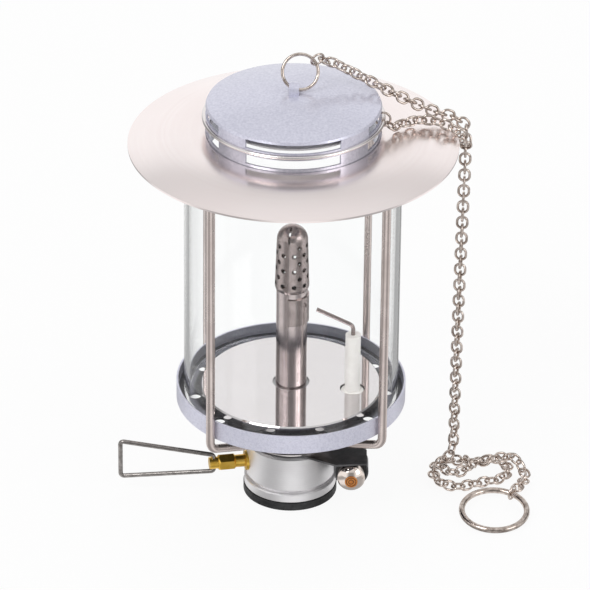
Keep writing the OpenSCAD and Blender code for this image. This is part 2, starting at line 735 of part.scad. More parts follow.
// Top: shade, collar, bead and cap
module shade() {
    dr = shade_r - shade_in;
    dz = shade_low - shade_high;
    chord = norm([dr, dz]);
    arc_r = (chord * chord / 4 + shade_bulge * shade_bulge) / (2 * shade_bulge);
    mid = [(shade_in + shade_r) / 2, (shade_high + shade_low) / 2];
    centre = mid + (arc_r - shade_bulge) * [dz, -dr] / chord;
    color([0.93, 0.90, 0.89]) rotate_extrude() intersection() {
        difference() {
            translate(centre) circle(arc_r, $fn = 240);
            translate(centre) circle(arc_r - shade_t, $fn = 240);
        }
        translate([shade_in, shade_low - 4]) square([dr, shade_high - shade_low + 8]);
    }
}

module vent_collar() {
    color([0.76, 0.78, 0.84]) difference() {
        union() {
            washer(collar_r, collar_r - sheet_t, collar_low, collar_high - collar_low - seat);
            washer(ledge_r, collar_r - sheet_t / 2, shade_high - shade_t - ledge_t - 0.2, ledge_t);
        }
        for (a = [0 : 90 : 270])
            slot_wedge(a, slot_half, slot_low, slot_high, collar_r);
        for (i = [0 : strut_count - 1])
            rotate([0, 0, frame_az + i * 360 / strut_count]) translate([collar_r - 4, 0, frame_top])
                rotate([0, 90, 0]) cylinder(h = 8, r = strut_r + fit);
    }
}

module cap_bead() {
    color([0.88, 0.85, 0.84]) rotate_extrude() union() {
        translate([collar_r - sheet_t, collar_high]) square([bead_r - collar_r + sheet_t, bead_t - seat]);
        translate([bead_r, collar_high + bead_t / 2]) circle(bead_t / 2 - seat, $fn = 48);
    }
}

// Cap: a drawn cup with a crowned top and a window over each vent slot
module cap() {
    edge = 0.9;
    inner = crown_ball - sheet_t;
    color([0.78, 0.80, 0.87]) difference() {
        rotate_extrude() difference() {
            intersection() {
                translate([0, crown_z - crown_ball]) circle(crown_ball, $fn = 240);
                polygon([[0, cap_low], [cap_r, cap_low], [cap_r, cap_edge - edge],
                    [cap_r - edge / 2, cap_edge - 0.1], [cap_r - 2 * edge, crown_z + 1], [0, crown_z + 1]]);
            }
            intersection() {
                translate([0, crown_z - crown_ball]) circle(inner, $fn = 240);
                translate([0, cap_low - 1]) square([cap_r - sheet_t, crown_z]);
            }
        }
        for (a = [0 : 90 : 270])
            slot_wedge(a, slot_half, window_low, window_high, cap_r);
    }
}

module heat_baffle() {
    color([0.9, 0.89, 0.88]) {
        translate([0, 0, baffle_z]) cylinder(h = baffle_t, r = baffle_r);
        translate([0, 0, baffle_z]) cylinder(h = crown_z - sheet_t - baffle_z - 0.05, r = post_r);
    }
}

// Bridge lanced up from the crown, through which the hanging ring runs
module ring_strap() {
    out = strap_in + strap_t;
    foot = crown_z - sheet_t / 2;
    color([0.8, 0.82, 0.88]) difference() {
        translate([-strap_w / 2, 0, strap_z]) rotate([90, 0, 90]) linear_extrude(strap_w) difference() {
            union() {
                circle(out);
                translate([-out, foot - strap_z]) square([2 * out, strap_z - foot]);
            }
            circle(strap_in);
            translate([-strap_in, -2 * out]) square([2 * strap_in, 2 * out]);
            translate([-2 * out, foot - strap_z - 4 * out]) square([4 * out, 4 * out]);
        }
        translate([0, 0, crown_z - crown_ball]) sphere(crown_ball, $fn = 240);
    }
}

// Igniter
module igniter_bracket() {
    band_r = barrel_r + fit + band_t;
    ear_x = igniter_x + barrel_r;
    ear_front = barrel_front - 5;
    color([0.16, 0.16, 0.17]) difference() {
        union() {
            translate([0, 0, valve_top]) linear_extrude(bracket_t) difference() {
                union() {
                    circle(plate_r - 0.6);
                    polygon([[0, 0], [2, 1 - plate_r], [7, barrel_front], [18, ear_front - 0.6],
                        [ear_x, ear_front + 0.8], [ear_x, barrel_front + 6], [14, 0]]);
                }
                circle(mix_r + fit);
            }
            translate([igniter_x, band_from, igniter_z]) rotate([-90, 0, 0])
                cylinder(h = band_len, r = band_r);
        }
        translate([igniter_x, band_from - 1, igniter_z]) rotate([-90, 0, 0])
            cylinder(h = band_len + 2, r = barrel_r + fit);
    }
}

module igniter_barrel() {
    color([0.08, 0.08, 0.09]) translate([igniter_x, barrel_front, igniter_z]) rotate([-90, 0, 0])
        difference() {
            cylinder(h = barrel_len, r = barrel_r);
            translate([0, 0, -eps]) cylinder(h = bore_depth, r = button_bore);
            translate([0, 0, bore_depth + 1]) cylinder(h = crystal_len, r = crystal_r + fit);
        }
}

module piezo_crystal() {
    color([0.85, 0.83, 0.78]) translate([igniter_x, barrel_front + bore_depth + 1 + seat, igniter_z])
        rotate([-90, 0, 0]) cylinder(h = crystal_len - 2 * seat, r = crystal_r);
}

// Bullet button with a shallow seat for its coloured disc
module igniter_button() {
    color([0.9, 0.9, 0.91]) translate([igniter_x, barrel_front, igniter_z]) rotate([90, 0, 0]) difference() {
        translate([0, 0, -button_in]) rotate_extrude() intersection() {
            square([button_r, button_in + button_len]);
            union() {
                square([button_r, button_in + button_len - button_nose]);
                translate([0, button_in + button_len - button_nose - 1.6]) circle(button_r + 1.2);
            }
        }
        translate([0, 0, button_len - badge_t]) cylinder(h = 2 * badge_t, r = badge_r + fit);
    }
}

module button_badge() {
    color([0.80, 0.42, 0.16]) translate([igniter_x, barrel_front, igniter_z]) rotate([90, 0, 0])
        translate([0, 0, button_len - badge_t + seat]) cylinder(h = badge_t - 0.1, r = badge_r);
}

module ceramic_insulator() {
    color([0.95, 0.94, 0.91]) translate([ceramic_at.x, ceramic_at.y, 0]) difference() {
        union() {
            translate([0, 0, ceramic_low]) cylinder(h = ceramic_top - ceramic_low, r = ceramic_r);
            translate([0, 0, pan_floor]) cylinder(h = disc_h - disc_t, r = flange_r);
        }
        translate([0, 0, ceramic_low - 1]) cylinder(h = ceramic_top, r = electrode_r + fit);
    }
}

module insulator_clip() {
    color([0.7, 0.7, 0.7]) translate([ceramic_at.x, ceramic_at.y, 0])
        washer(clip_r, ceramic_r + fit, pan_floor - pan_t - clip_t, clip_t - seat);
}

module electrode_wire() {
    reach = norm([electrode_tip.x, electrode_tip.y] - ceramic_at);
    toward = atan2(electrode_tip.y - ceramic_at.y, electrode_tip.x - ceramic_at.x);
    color([0.6, 0.59, 0.57]) translate([ceramic_at.x, ceramic_at.y, 0]) rotate([0, 0, toward])
        flat_wire([[0, electrode_low], [0, electrode_bend_z], [reach, electrode_tip.z]], electrode_r, 2.4);
}

// Hanging ring, chain and rings
module hang_ring() {
    color([0.66, 0.63, 0.6]) wire_ring(hang_c, hang_n, hang_r, hang_wire_r);
}

module jump_ring() {
    color([0.7, 0.67, 0.62]) wire_ring(jump_c, jump_n, small_r, small_wire_r);
}

module stay_ring() {
    color([0.7, 0.67, 0.62]) wire_ring(stay_c, stay_n, stay_ring_r, small_wire_r);
}

module joint_ring() {
    color([0.7, 0.67, 0.62]) wire_ring(joint_c, joint_n, small_r, link_wire_r);
}

module end_jump_ring() {
    color([0.7, 0.67, 0.62]) wire_ring(end_jump_c, end_tan, small_r, small_wire_r);
}

module end_ring() {
    color([0.74, 0.71, 0.66]) wire_ring(end_c, end_n, end_ring_r, end_ring_wire_r);
}

upper_links = link_frames(upper_route, jump_n, joint_n);
stay_links = link_frames(stay_route, stay_n, joint_n);
fall_links = link_frames(fall_route, joint_n, end_tan);

module chain(links) {
    color([0.74, 0.70, 0.62]) for (f = links) link(f);
}

module chain_upper() { chain(upper_links); }

module chain_stay() { chain(stay_links); }

module chain_fall() { chain([for (f = fall_links) if (f[0].z > fall_end_z) f]); }

module chain_heap() { chain([for (f = fall_links) if (f[0].z <= fall_end_z) f]); }

foot_ring();
valve_body();
thread_insert();
canister_seal();
opener_pin();
gland_nut();
spindle_seal();
valve_spindle();
wire_handle();
jet();
strut_plate();
strut_clamp();
neck_nut();
mixing_tube();
base_pan();
lock_nut();
reflector_disc();
burner_tube();
burner_sleeve();
burner_head();
strut(frame_az);  // strut_back_right
strut(frame_az + 90);  // strut_back_left
strut(frame_az + 180);  // strut_front_left
strut(frame_az + 270);  // strut_front_right
glass_chimney();
shade();
vent_collar();
cap_bead();
cap();
heat_baffle();
ring_strap();
igniter_bracket();
igniter_barrel();
piezo_crystal();
igniter_button();
button_badge();
ceramic_insulator();
insulator_clip();
electrode_wire();
hang_ring();
jump_ring();
stay_ring();
joint_ring();
end_jump_ring();
end_ring();
chain_upper();
chain_stay();
chain_fall();
chain_heap();
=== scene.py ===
import math
import bpy
import numpy as np
from mathutils import Matrix, Vector


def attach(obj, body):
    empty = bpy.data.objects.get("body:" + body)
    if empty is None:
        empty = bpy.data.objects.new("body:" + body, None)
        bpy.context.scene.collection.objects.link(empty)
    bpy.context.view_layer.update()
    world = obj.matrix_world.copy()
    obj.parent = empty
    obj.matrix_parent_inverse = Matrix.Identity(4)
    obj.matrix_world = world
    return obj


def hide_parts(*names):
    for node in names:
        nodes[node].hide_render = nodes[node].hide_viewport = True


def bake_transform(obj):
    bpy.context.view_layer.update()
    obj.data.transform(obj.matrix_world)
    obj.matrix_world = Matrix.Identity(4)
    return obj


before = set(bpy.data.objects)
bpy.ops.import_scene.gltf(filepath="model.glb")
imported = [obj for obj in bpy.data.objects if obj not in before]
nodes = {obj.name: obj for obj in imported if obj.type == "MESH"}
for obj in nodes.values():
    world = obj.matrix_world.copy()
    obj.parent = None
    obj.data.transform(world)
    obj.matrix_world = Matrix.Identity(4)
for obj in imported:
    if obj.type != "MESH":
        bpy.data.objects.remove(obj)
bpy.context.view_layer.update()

# The photographer's place: a long lens, about two metres off, looking down on the lantern
# from a little under thirty degrees, with the camera turned by half a degree.
LENS_PX = 5000.0
FRAME_PX = 590.0
SENSOR_MM = 36.0
DISTANCE = 1.9455
DOWN = math.radians(29.5)
ROLL = 0.0106
AIM = Vector((0.00121, 0.0, 0.0873))
VIEW_END = 50.0
forward = Vector((0.0, math.cos(DOWN), -math.sin(DOWN)))
level = Vector((1.0, 0.0, 0.0))
upright = Vector((0.0, math.sin(DOWN), math.cos(DOWN)))
right = level * math.cos(ROLL) + upright * math.sin(ROLL)
up = upright * math.cos(ROLL) - level * math.sin(ROLL)
lens = bpy.data.cameras.new("photo_camera")
lens.sensor_width = SENSOR_MM
lens.lens = SENSOR_MM * LENS_PX / FRAME_PX
lens.clip_end = VIEW_END
camera = bpy.data.objects.new("photo_camera", lens)
bpy.context.scene.collection.objects.link(camera)
stance = Matrix((right, up, -forward)).transposed().to_4x4()
stance.translation = AIM - forward * DISTANCE
camera.matrix_world = stance
bpy.context.scene.camera = camera
bpy.context.scene.view_settings.view_transform = "Standard"

# The studio: white all round the lantern, with a broad lamp over the left shoulder, a weaker one
# on the right and one behind that metal and glass don't show. What is seen straight or through the
# glass is white, and metal mirrors three pale panels and a ceiling that brightens overhead.
PANEL_COUNT = 3.0
PANEL_SHIFT = math.pi
PANEL_EDGES = (-0.9, 0.5)
PANEL_LIGHT = (0.28, 1.0)
CEILING_EDGES = (0.54, 0.63)
OVERHEAD_EDGES = (0.63, 0.95)
OVERHEAD_LIGHT = (0.64, 0.88)
ROOM_LIGHT = 0.60
WHITE = 1.0
LAMPS = (("key_lamp", (-0.9, -1.0, 1.5), 0.9, 12.0),
         ("fill_lamp", (1.3, -0.9, 0.9), 0.8, 4.0),
         ("rim_lamp", (0.2, 1.3, 1.0), 0.8, 4.0))
LAMP_AIM = Vector((0, 0, 0.09))


def add(tree, kind, inputs=None, **settings):
    """Adds a shader node, with its settings first and then its inputs, each linked or set."""
    node = tree.nodes.new("ShaderNode" + kind)
    for key, value in settings.items():
        setattr(node, key, value)
    for key, value in (inputs or {}).items():
        if isinstance(value, bpy.types.NodeSocket):
            tree.links.new(value, node.inputs[key])
        else:
            node.inputs[key].default_value = value
    return node


def sums(tree, operation, first, second, clamp=False):
    """One step of arithmetic on two numbers."""
    return add(tree, "Math", {0: first, 1: second}, operation=operation, use_clamp=clamp).outputs[0]


def ramp(tree, value, edges, reach=(0.0, 1.0), kind="SMOOTHSTEP"):
    """A number carried from between two edges to between two others."""
    return add(tree, "MapRange", {"Value": value, "From Min": edges[0], "From Max": edges[1],
                                  "To Min": reach[0], "To Max": reach[1]}, interpolation_type=kind).outputs[0]


def fade(tree, factor, low, high):
    """A number mixed from two."""
    return add(tree, "Mix", {"Factor": factor, "A": low, "B": high}, data_type="FLOAT").outputs["Result"]


def bearing_wave(tree, way, count, shift):
    """A sine with the given number of waves round the vertical axis."""
    split = add(tree, "SeparateXYZ", {0: way}).outputs
    bearing = sums(tree, "ARCTAN2", split["Y"], split["X"])
    wave = add(tree, "Math", {0: bearing, 1: count, 2: shift}, operation="MULTIPLY_ADD").outputs[0]
    return add(tree, "Math", {0: wave}, operation="SINE").outputs[0]


def ray_kinds(tree):
    """The light path's outputs, a mask of rays from the lens or out of glass, and the same mask
    without those that were mirrored on the way."""
    rays = add(tree, "LightPath").outputs
    seen = sums(tree, "MAXIMUM", rays["Is Camera Ray"], rays["Is Transmission Ray"])
    return rays, seen, sums(tree, "SUBTRACT", seen, rays["Glossy Depth"], clamp=True)


world = bpy.data.worlds.new("studio")
bpy.context.scene.world = world
world.use_nodes = True
room = world.node_tree
room.nodes.clear()
room_rays, _, room_straight = ray_kinds(room)
room_way = add(room, "TexCoord").outputs["Generated"]
room_height = add(room, "SeparateXYZ", {0: room_way}).outputs["Z"]
walls = ramp(room, bearing_wave(room, room_way, PANEL_COUNT, PANEL_SHIFT), PANEL_EDGES, PANEL_LIGHT)
overhead = ramp(room, room_height, OVERHEAD_EDGES, OVERHEAD_LIGHT, "LINEAR")
panels = fade(room, ramp(room, room_height, CEILING_EDGES), walls, overhead)
room_light = fade(room, room_straight, fade(room, room_rays["Is Glossy Ray"], ROOM_LIGHT, panels), WHITE)
backdrop = add(room, "Background", {"Color": (1, 1, 1, 1), "Strength": room_light})
add(room, "OutputWorld", {"Surface": backdrop.outputs[0]})

for name, at, size, watts in LAMPS:
    lamp = bpy.data.lights.new(name, "AREA")
    lamp.size = size
    lamp.energy = watts
    stand = bpy.data.objects.new(name, lamp)
    bpy.context.scene.collection.objects.link(stand)
    stand.location = at
    stand.rotation_euler = (LAMP_AIM - Vector(at)).to_track_quat("-Z", "Y").to_euler()
    stand.visible_glossy = stand.visible_transmission = name != "rim_lamp"

# Paper: a wide white sheet under the lantern. It is nearly as white as the room to the lens and
# through the glass and keeps a soft shadow, and metal mirrors it with four pale strips.
PAPER_REACH = 6
PAPER_TONE = (0.9, 0.9, 0.9, 1)
PAPER_GLOW = 0.92
STRIP_COUNT = 4.0
STRIP_SHIFT = 1.2
STRIP_EDGES = (-0.8, 0.9)
STRIP_LIGHT = (0.40, 1.0)
sheet = bpy.data.meshes.new("paper")
sheet.from_pydata([(-PAPER_REACH, -PAPER_REACH, 0), (PAPER_REACH, -PAPER_REACH, 0),
                   (PAPER_REACH, PAPER_REACH, 0), (-PAPER_REACH, PAPER_REACH, 0)], [], [(0, 1, 2, 3)])
paper = bpy.data.objects.new("paper", sheet)
bpy.context.scene.collection.objects.link(paper)
paper_finish = bpy.data.materials.new("white_paper")
paper_finish.use_nodes = True
floor = paper_finish.node_tree
floor.nodes.clear()
floor_rays, floor_seen, floor_straight = ray_kinds(floor)
floor_place = add(floor, "NewGeometry").outputs["Position"]
strips = ramp(floor, bearing_wave(floor, floor_place, STRIP_COUNT, STRIP_SHIFT), STRIP_EDGES, STRIP_LIGHT)
floor_mirrored = sums(floor, "SUBTRACT", floor_rays["Is Glossy Ray"], floor_straight, clamp=True)
glow = add(floor, "Emission", {"Strength": fade(floor, floor_mirrored, WHITE, strips)})
matt = add(floor, "BsdfDiffuse", {"Color": PAPER_TONE})
glowing = sums(floor, "MULTIPLY", sums(floor, "MAXIMUM", floor_seen, floor_rays["Is Glossy Ray"]), PAPER_GLOW)
paper_skin = add(floor, "MixShader", {0: glowing, 1: matt.outputs[0], 2: glow.outputs[0]})
add(floor, "OutputMaterial", {"Surface": paper_skin.outputs[0]})
sheet.materials.append(paper_finish)

# Foot ring: a black rubber ring pressed under the valve body, matt, with a faint moulding
# grain and a dusting of grey where it has stood on tables.
CLOUD_EDGES = (0.3, 0.7)
LINE_SHARE = 0.5


def value_group(name, inputs, output):
    """An empty shader group with number inputs and one number output."""
    group = bpy.data.node_groups.new(name, "ShaderNodeTree")
    for label, start in inputs:
        group.interface.new_socket(label, in_out="INPUT", socket_type="NodeSocketFloat").default_value = start
    group.interface.new_socket(output, in_out="OUTPUT", socket_type="NodeSocketFloat")
    return group, group.nodes.new("NodeGroupInput").outputs, group.nodes.new("NodeGroupOutput").inputs


def from_axis(tree):
    """Distance from the lantern's axis, and height, in Object coordinates."""
    split = add(tree, "SeparateXYZ", {0: add(tree, "TexCoord").outputs["Object"]}).outputs
    flat = add(tree, "CombineXYZ", {"X": split["X"], "Y": split["Y"]}).outputs[0]
    return add(tree, "VectorMath", {0: flat}, operation="LENGTH").outputs["Value"], split["Z"]


def cloud_group():
    """Soft cloudy mask: fractal noise of the given size in Object coordinates, spread to 0..1."""
    group, come, go = value_group("clouding", [("Scale", 60.0), ("Detail", 4.0)], "Mask")
    at = add(group, "TexCoord").outputs["Object"]
    noise = add(group, "TexNoise", {"Vector": at, "Scale": come["Scale"], "Detail": come["Detail"]})
    group.links.new(ramp(group, noise.outputs["Fac"], CLOUD_EDGES, kind="LINEAR"), go["Mask"])
    return group


def turned_group():
    """Turning lines: noise over the distance from the lantern's axis and the height, nearly even
    round the axis, so that it runs in fine circles as a lathe or a spinning tool leaves them."""
    group, come, go = value_group("turning_lines", [("Fineness", 2500.0)], "Mask")
    fine = sums(group, "MULTIPLY", sums(group, "ADD", *from_axis(group)), come["Fineness"])
    noise = add(group, "TexNoise", {"W": fine, "Scale": 1.0, "Detail": 3.0}, noise_dimensions="1D")
    group.links.new(noise.outputs["Fac"], go["Mask"])
    return group


clouding = cloud_group()
turning = turned_group()


def finish(name, dark, light, rough, metal=0.0, cloud=80.0, lines=0.0, height=0.0):
    """A material whose colour and roughness wander between two values with a cloudy mask, half
    of it turning lines where their fineness is given. The normal follows the lines, or else the
    clouds, by a height in metres."""
    mat = bpy.data.materials.new(name)
    mat.use_nodes = True
    tree = mat.node_tree
    skin = tree.nodes["Principled BSDF"].inputs
    skin["Metallic"].default_value = metal
    relief = mask = add(tree, "Group", {"Scale": cloud}, node_tree=clouding).outputs["Mask"]
    if lines:
        relief = add(tree, "Group", {"Fineness": lines}, node_tree=turning).outputs["Mask"]
        mask = fade(tree, LINE_SHARE, mask, relief)
    tone = add(tree, "Mix", {"Factor": mask, "A": (*dark, 1), "B": (*light, 1)}, data_type="RGBA")
    tree.links.new(tone.outputs["Result"], skin["Base Color"])
    tree.links.new(ramp(tree, mask, (0.0, 1.0), rough[::-1], "LINEAR"), skin["Roughness"])
    if height:
        bump = add(tree, "Bump", {"Strength": 1.0, "Distance": height, "Height": relief})
        tree.links.new(bump.outputs[0], skin["Normal"])
    return mat


def dress(mat, *names):
    """Gives one material to the named solids."""
    for name in names:
        mesh = nodes[name].data
        mesh.materials.clear()
        mesh.materials.append(mat)


rubber = finish("foot_rubber", (0.012, 0.012, 0.013), (0.03, 0.03, 0.032), (0.5, 0.7), cloud=400.0,
                height=0.00002)
dress(rubber, "foot_ring", "canister_seal", "spindle_seal")

# Valve body: turned from aluminium bar with a skirt, a groove and a broken upper edge, satin
# from a fine lathe finish. The brass insert, the pin and the jet are pressed or screwed into it.
aluminium = finish("satin_aluminium", (0.81, 0.795, 0.805), (0.92, 0.91, 0.92), (0.50, 0.62), metal=1.0,
                   cloud=120.0, lines=2600.0, height=0.000005)
dress(aluminium, "valve_body")
brass = finish("turned_brass", (0.72, 0.43, 0.06), (0.90, 0.60, 0.13), (0.28, 0.40), metal=1.0, cloud=260.0,
               height=0.000006)
dress(brass, "thread_insert", "opener_pin", "gland_nut", "valve_spindle", "jet")

# Canister thread: a right-handed ridge of 28 turns to the inch, cut inside the brass insert. It
# runs out into the wall at both ends of the bore. The section's corners are given by their reach
# inwards, in depths, and their height, in pitches.
THREAD_BORE = 0.00513
THREAD_DEPTH = 0.0003
THREAD_PITCH = 0.0254 / 28
THREAD_LOW = 0.0026
THREAD_TURNS = 8.6
THREAD_FADE = 2.5
THREAD_REACH = np.array([-0.25, 1.0, 1.0, -0.25])
THREAD_LIFT = np.array([-0.42, -0.09, 0.09, 0.42])


def thread_ridge(steps=480):
    """Ridge along a helix: the angle grows with the turn and the height by one pitch a turn, the
    section is a trapezium that reaches into the bore, and its reach fades out over the end turns."""
    turn = np.linspace(0, THREAD_TURNS, steps)[:, None]
    reach = np.clip(np.minimum(turn, THREAD_TURNS - turn) * THREAD_FADE, 0, 1)
    inward = THREAD_REACH * THREAD_DEPTH * np.where(THREAD_REACH < 0, 1, reach)
    lift = THREAD_LIFT * THREAD_PITCH
    angle = 2 * math.pi * turn
    radius = THREAD_BORE - inward
    height = THREAD_LOW + THREAD_PITCH * turn + lift
    points = np.stack([radius * np.cos(angle), radius * np.sin(angle), height], -1)
    i, j = np.arange(steps - 1)[:, None] * 4, np.arange(4)[None, :]
    j2 = (j + 1) % 4
    quads = np.stack([i + j, i + j2, i + 4 + j2, i + 4 + j], -1).reshape(-1, 4)
    last = 4 * (steps - 1)
    ends = np.array([[3, 2, 1, 0], [last, last + 1, last + 2, last + 3]])
    return points.reshape(-1, 3), np.vstack([quads, ends])


def skin_object(name, points, quads, mat, smooth=True):
    """A mesh object at the origin from arrays of points and four-cornered faces."""
    mesh = bpy.data.meshes.new(name)
    mesh.from_pydata(points.tolist(), [], quads.tolist())
    mesh.polygons.foreach_set("use_smooth", np.full(len(mesh.polygons), smooth))
    mesh.materials.append(mat)
    obj = bpy.data.objects.new(name, mesh)
    bpy.context.scene.collection.objects.link(obj)
    return obj


canister_thread = skin_object("canister_thread_ridge", *thread_ridge(), brass, smooth=False)
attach(canister_thread, "frame")

# Wire handle: bare drawn steel wire, bent into a long loop. Its two ends hook into the cross hole
# of the spindle, so that it folds.
drawn_wire = finish("drawn_wire", (0.20, 0.185, 0.175), (0.40, 0.375, 0.36), (0.22, 0.36), metal=1.0,
                    cloud=500.0, height=0.000006)
dress(drawn_wire, "wire_handle")

# Wire frame: four uprights of satin steel wire, held on the valve between a plate and a domed
# clamp of polished sheet, with a plain nut on the mixing tube's neck. The cap's bead is polished
# too, and the small steel pieces are left plain.
frame_wire = finish("frame_wire", (0.62, 0.535, 0.505), (0.76, 0.665, 0.635), (0.22, 0.34), metal=1.0,
                    cloud=110.0, height=0.000003)
dress(frame_wire, "strut_back_right", "strut_back_left", "strut_front_left", "strut_front_right")
polished = finish("polished_sheet", (0.74, 0.70, 0.69), (0.88, 0.84, 0.83), (0.10, 0.20), metal=1.0,
                  cloud=40.0, lines=900.0, height=0.000004)
dress(polished, "strut_plate", "strut_clamp", "cap_bead")
plain_steel = finish("plain_steel", (0.45, 0.45, 0.46), (0.62, 0.62, 0.63), (0.28, 0.42), metal=1.0,
                     cloud=200.0)
dress(plain_steel, "neck_nut", "mixing_tube", "lock_nut", "insulator_clip")

# Cap, strap and collar: pressed sheet under a pale blue-grey metallic paint whose flakes and slight orange
# peel show close by. The collar's copy of the paint is glossier, and darker as painted shade.
PAINT_DARK = (0.575, 0.575, 0.69)
PAINT_LIGHT = (0.73, 0.73, 0.84)
FLAKES = 1100.0
ORANGE_PEEL = 0.00001
paint = finish("blue_grey_paint", PAINT_DARK, PAINT_LIGHT, (0.17, 0.27), metal=0.25, cloud=FLAKES,
               height=ORANGE_PEEL)
dress(paint, "cap", "ring_strap")
# Painted shade: the collar's paint is a darker copy of the cap's paint.
shaded_collar_paint = finish("shaded_collar_paint", (0.50, 0.50, 0.58), (0.66, 0.66, 0.74), (0.14, 0.22), metal=0.6,
                      cloud=FLAKES, height=ORANGE_PEEL)
dress(shaded_collar_paint, "vent_collar")

# Base pan: pressed with a channel for the glass and painted like the cap. Inside its rim the paint is
# darkened as painted shade, grey on the floor and near black under the reflector and round the glass. Each
# pair is a distance from the axis and the share of the paint's colour that is left there.
PAN_SPAN = 0.05
PAN_PAINTED_SHADE = ((0.0375, 0.02), (0.0390, 0.30), (0.0410, 0.24), (0.0420, 0.05), (0.0437, 0.05), (0.0440, 0.32),
            (0.0443, 0.34), (0.0444, 1.0))
pan_paint = finish("pan_paint", PAINT_DARK, PAINT_LIGHT, (0.26, 0.36), metal=0.15, cloud=FLAKES,
                   height=ORANGE_PEEL)
pan_tree = pan_paint.node_tree
pan_colour = pan_tree.nodes["Principled BSDF"].inputs["Base Color"]
# Painted shade: a ramp over the distance from the axis darkens the pan's paint inside its rim.
pan_shade_ramp = add(pan_tree, "ValToRGB", {"Fac": sums(pan_tree, "DIVIDE", from_axis(pan_tree)[0], PAN_SPAN)})
stops = pan_shade_ramp.color_ramp.elements
for number, (edge, left) in enumerate(PAN_PAINTED_SHADE):
    if number > 1:
        stops.new(edge / PAN_SPAN)
    stops[number].position = edge / PAN_SPAN
    stops[number].color = (left, left, left, 1)
pan_tone = add(pan_tree, "Mix", data_type="RGBA", blend_type="MULTIPLY",
               inputs={"Factor": 1.0, "A": pan_colour.links[0].from_socket, "B": pan_shade_ramp.outputs["Color"]})
pan_tree.links.new(pan_tone.outputs["Result"], pan_colour)
dress(pan_paint, "base_pan")

# Reflector disc: a turned-down dish of mirror-polished sheet that shows the burner upside down.
# The baffle under the cap is pale sheet, dulled by the hot air.
mirror = finish("mirror_sheet", (0.74, 0.705, 0.71), (0.80, 0.77, 0.775), (0.03, 0.07), metal=1.0, cloud=30.0,
                lines=900.0)
dress(mirror, "reflector_disc")
hot_sheet = finish("hot_sheet", (0.80, 0.785, 0.775), (0.92, 0.91, 0.90), (0.40, 0.55), metal=0.1, cloud=90.0)
dress(hot_sheet, "heat_baffle")

# Burner: a stainless tube with a split sleeve and a perforated head, warmed by heat. The head and
# the sleeve, nearest the flame, are duller and darker, and so is the electrode.
burner_steel = finish("burner_steel", (0.50, 0.43, 0.425), (0.64, 0.565, 0.555), (0.12, 0.20), metal=1.0,
                      cloud=140.0, height=0.000004)
dress(burner_steel, "burner_tube")
burnt_steel = finish("burnt_steel", (0.34, 0.285, 0.275), (0.46, 0.395, 0.385), (0.15, 0.25), metal=1.0,
                     cloud=180.0, height=0.000006)
dress(burnt_steel, "burner_sleeve", "burner_head", "electrode_wire")

# Igniter: a black barrel in a dark steel band, a warm chrome button with an enamelled disc, and a
# white ceramic post that carries the electrode through the reflector. Two fine rings lie on the disc.
BADGE_AT = np.array([0.024, -0.02391, 0.01685])
BADGE_RINGS = (("badge_ring", 0.00185), ("badge_inner_ring", 0.00095))
BADGE_WIRE = 0.00016
dark_steel = finish("dark_steel", (0.10, 0.10, 0.105), (0.20, 0.195, 0.20), (0.28, 0.42), metal=1.0,
                    cloud=200.0)
dress(dark_steel, "igniter_bracket")
black = finish("black_moulding", (0.008, 0.008, 0.009), (0.02, 0.02, 0.021), (0.22, 0.34), cloud=300.0)
dress(black, "igniter_barrel")
chrome = finish("button_chrome", (0.80, 0.70, 0.64), (0.92, 0.83, 0.77), (0.06, 0.12), metal=1.0, cloud=200.0)
dress(chrome, "igniter_button")
enamel = finish("orange_enamel", (0.52, 0.17, 0.03), (0.72, 0.28, 0.06), (0.24, 0.38), metal=0.35,
                cloud=700.0)
dress(enamel, "button_badge")


def round_skin(centre, radius, wire, around=72, sides=16):
    """Skin of a ring that faces the front: a circle of wire carried round a circle in the XZ plane."""
    a = np.linspace(0, 2 * math.pi, around, endpoint=False)[:, None]
    b = np.linspace(0, 2 * math.pi, sides, endpoint=False)[None, :]
    out = radius + wire * np.cos(b)
    points = np.stack([out * np.cos(a), -wire * np.sin(b) + 0 * a, out * np.sin(a)], -1) + centre
    i, j = np.arange(around)[:, None], np.arange(sides)[None, :]
    i2, j2 = (i + 1) % around, (j + 1) % sides
    quads = np.stack([i * sides + j, i2 * sides + j, i2 * sides + j2, i * sides + j2], -1)
    return points.reshape(-1, 3), quads.reshape(-1, 4)


badge_line = finish("badge_line", (0.10, 0.035, 0.012), (0.20, 0.07, 0.02), (0.3, 0.45), metal=0.3,
                    cloud=900.0)
for line, reach in BADGE_RINGS:
    ring_line = skin_object(line, *round_skin(BADGE_AT, reach, BADGE_WIRE), badge_line)
    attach(ring_line, "button")
ceramic = finish("white_ceramic", (0.80, 0.775, 0.745), (0.88, 0.86, 0.835), (0.35, 0.5), cloud=180.0,
                 height=0.00001)
dress(ceramic, "ceramic_insulator", "piezo_crystal")

# Chimney: a clear drawn glass cylinder that stands in the pan's channel, with the faint waves
# that drawing leaves along it. In white light it shows only a little at its sides.
GLASS = {"Base Color": (0.995, 1.0, 1.0, 1), "Roughness": 0.0, "IOR": 1.20, "Transmission Weight": 1.0,
         "Specular IOR Level": 0.2}
WAVE_STRETCH = (60.0, 60.0, 6.0)
WAVE_HEIGHT = 0.00004
clear = bpy.data.materials.new("clear_glass")
clear.use_nodes = True
glass_tree = clear.node_tree
glass_skin = glass_tree.nodes["Principled BSDF"].inputs
for key, value in GLASS.items():
    glass_skin[key].default_value = value
glass_at = add(glass_tree, "TexCoord").outputs["Object"]
stretched = add(glass_tree, "Mapping", {"Vector": glass_at, "Scale": WAVE_STRETCH}).outputs["Vector"]
waves = add(glass_tree, "TexNoise", {"Vector": stretched, "Scale": 1.0, "Detail": 1.0})
wave_bump = add(glass_tree, "Bump", {"Strength": 1.0, "Distance": WAVE_HEIGHT, "Height": waves.outputs[0]})
glass_tree.links.new(wave_bump.outputs["Normal"], glass_skin["Normal"])
dress(clear, "glass_chimney")
nodes["glass_chimney"].visible_shadow = False

